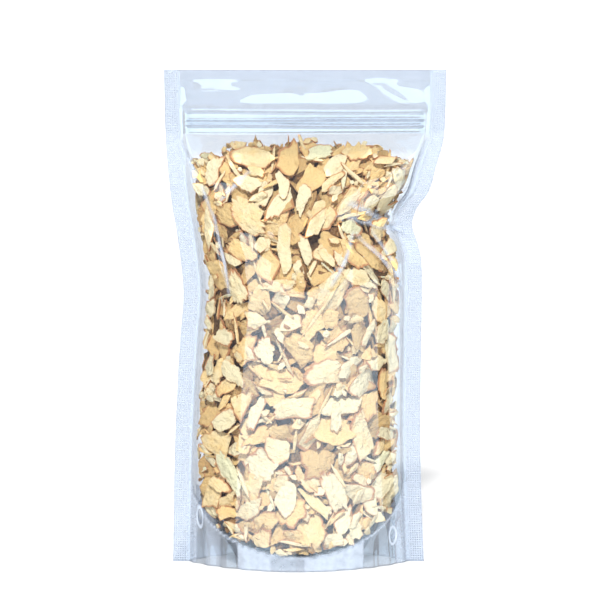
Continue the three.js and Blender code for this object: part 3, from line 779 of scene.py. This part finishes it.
for side, title in ((-1, "front"), (1, "back")):
    prefixes = title + "_slice", title + "_splinter"
    names = sorted(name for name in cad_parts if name.startswith(prefixes))
    large = measured(side, names)
    snapped = broken(np.random.default_rng(side + 5), len(names), LARGE_SPOKES, 8, 0.3)
    snapped = snapped * large["outline"].mean(1)[:, None] * 1.13
    large["outline"] = np.minimum(large["outline"] * 1.05, snapped)
    made = slice_mesh(title + "_large", side, large, LARGE_RINGS, side + 30)
    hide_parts(*names)
    small = heap(side, side + 40, large, SMALL_COUNT, SMALL_SPOKES)
    made = slice_mesh(title + "_small", side, small, SMALL_RINGS, side + 50)


# The inside of the heap, which shows only as dark gaps between the slices that lie against the
# film. It stands for the same root, packed loose and shaded by what lies before it, and is made
# as one closed lump whose near-black to dark brown colour is painted shade.
CORE_REACH, CORE_TOP = 0.86, 191
CORE_SHADE_COLOURS = (0.05, 0.025, 0.01, 1), (0.24, 0.13, 0.05, 1)

share, part = np.meshgrid(np.linspace(-CORE_REACH, CORE_REACH, 71), np.linspace(0, 1, 91))
low = SKIRT_MIDDLE + KEEL_CLIMB * climbing(share)
z = low + (CORE_TOP - 14 * np.abs(share) ** 3 - low) * part
front, back = film(-1, share * FREE, z), film(1, share * FREE, z)
half = (back[..., 1] - front[..., 1]) / 2
margin = np.minimum.reduce([part * 24, (1 - part) * 24, (CORE_REACH - np.abs(share)) * 12])
margin = margin.clip(0, 1)
thick = np.maximum(half - 7.5, 0.3 * half) * np.sqrt(margin)
thick = thick + 0.9 * (1 + ripple(77, 8, share * FREE, z)) * margin
outward = np.stack([0 * thick, thick + 0.02, 0 * thick], -1)
points = np.stack([(front + back) / 2 - outward, (front + back) / 2 + outward])
outer = grid_faces(*share.shape)
at = np.arange(share.size).reshape(share.shape)
border = np.concatenate([at[0, :-1], at[:-1, -1], at[-1, :0:-1], at[:0:-1, 0]])
onward = np.roll(border, -1)
rim = np.stack([border, border + share.size, onward + share.size, onward], -1)
# The core's colour is painted shade: near-black to dark brown in a fine noise.
material, tree = new_material("shaded_root")
shade = node(tree, "ShaderNodeTexNoise", {"Scale": 400.0, "Detail": 4.0})
painted_shade = shade.ease(0.35, 0.65).blend(*CORE_SHADE_COLOURS)
skin = node(tree, "ShaderNodeBsdfPrincipled", {"Base Color": painted_shade, "Roughness": 0.95})
node(tree, "ShaderNodeOutputMaterial", [skin])
core = make_mesh("root_core", points, [outer, outer[:, ::-1] + share.size, rim], material)
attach(core, "root")
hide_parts("root_fill")


# The floor. One wide sheet of matt white runs back from under the camera and curves up into the
# wall behind the pouch, so that no edge shows.
BACK, BEND = 2000, 1500  # how far back the curve begins, and its radius
bend = np.radians(np.linspace(0, 90, 13))
run = np.concatenate([[-6000], BACK + BEND * np.sin(bend), [BACK + BEND]])
rise = np.concatenate([[0], BEND - BEND * np.cos(bend), [6000]])
sweep = np.stack(np.broadcast_arrays(np.array([-7000, 7000]), run[:, None], rise[:, None]), -1)
material, tree = new_material("floor")
paint = node(tree, "ShaderNodeBsdfDiffuse", [(0.76, 0.76, 0.76, 1)])
node(tree, "ShaderNodeOutputMaterial", [paint])
floor = make_mesh("floor", sweep, [grid_faces(*sweep.shape[:2])], material)
floor.visible_glossy = False


# The cards. White boards stand in a ring a metre round the pouch, lit from behind, with gaps like
# those between windows. Only the film's gloss sees them.
CARD_REACH, CARD_STEPS = 1000, 25
CARDS = [  # azimuths from the front, to the right, the bottom height and the top at each end
    (-55, 79, -300, 180, 180), (-55, -2, -620, -300, -300), (13, 79, -620, -300, -300),
    (93, 125, -620, 180, 180), (-55, -8, 180, 310, 185), (8, 50, 180, 185, 310),
]
corners = []
for low, high, bottom, first, last in CARDS:
    turn = np.radians(np.linspace(low, high, CARD_STEPS))
    x, y = CARD_REACH * np.sin(turn), -CARD_REACH * np.cos(turn)
    for height in (bottom + 0 * turn, np.linspace(first, last, CARD_STEPS)):
        corners.append(np.stack([x, y, height], -1))
strips = [grid_faces(2, CARD_STEPS) + 2 * CARD_STEPS * n for n in range(len(CARDS))]
material, tree = new_material("cards")
glow = node(tree, "ShaderNodeEmission", [(0.68, 0.87, 1, 1), 2.35])
node(tree, "ShaderNodeOutputMaterial", [glow])
cards = make_mesh("cards", np.stack(corners), strips, material)
for kind in ("camera", "diffuse", "transmission", "volume_scatter", "shadow"):
    setattr(cards, "visible_" + kind, False)


# The light. One large soft lamp stands high in front of the pouch, and an even white sky fills the
# shadows. The gloss sees neither.
lamp = add_object("lamp", bpy.data.lights.new("lamp", "SUN"))
lamp.data.energy, lamp.data.angle = 4.9, math.radians(7)
lamp.rotation_euler = (math.radians(48), 0, math.radians(-3))
lamp.visible_glossy = False
world = bpy.data.worlds.new("sky")
world.use_nodes = True
world.node_tree.nodes["Background"].inputs[0].default_value = (1, 0.99, 0.98, 1)
world.node_tree.nodes["Background"].inputs[1].default_value = 0.42
world.cycles_visibility.glossy = False
scene = bpy.context.scene
scene.world = world
scene.view_settings.view_transform = "Standard"
scene.cycles.transparent_max_bounces = 24


# The camera. It looks at the middle of the pouch from 1.2 m, a little from above, through a lens
# so long that the pouch's sides stay nearly parallel.
DISTANCE, TILT, AIM = 1.2, math.radians(6.5), (-0.0024, 0.1234)
camera = add_object("camera", bpy.data.cameras.new("camera"))
camera.location = (AIM[0], -DISTANCE * math.cos(TILT), AIM[1] + DISTANCE * math.sin(TILT))
camera.rotation_euler = (math.pi / 2 - TILT, 0, 0)
camera.data.lens = 155.1
scene.camera = camera
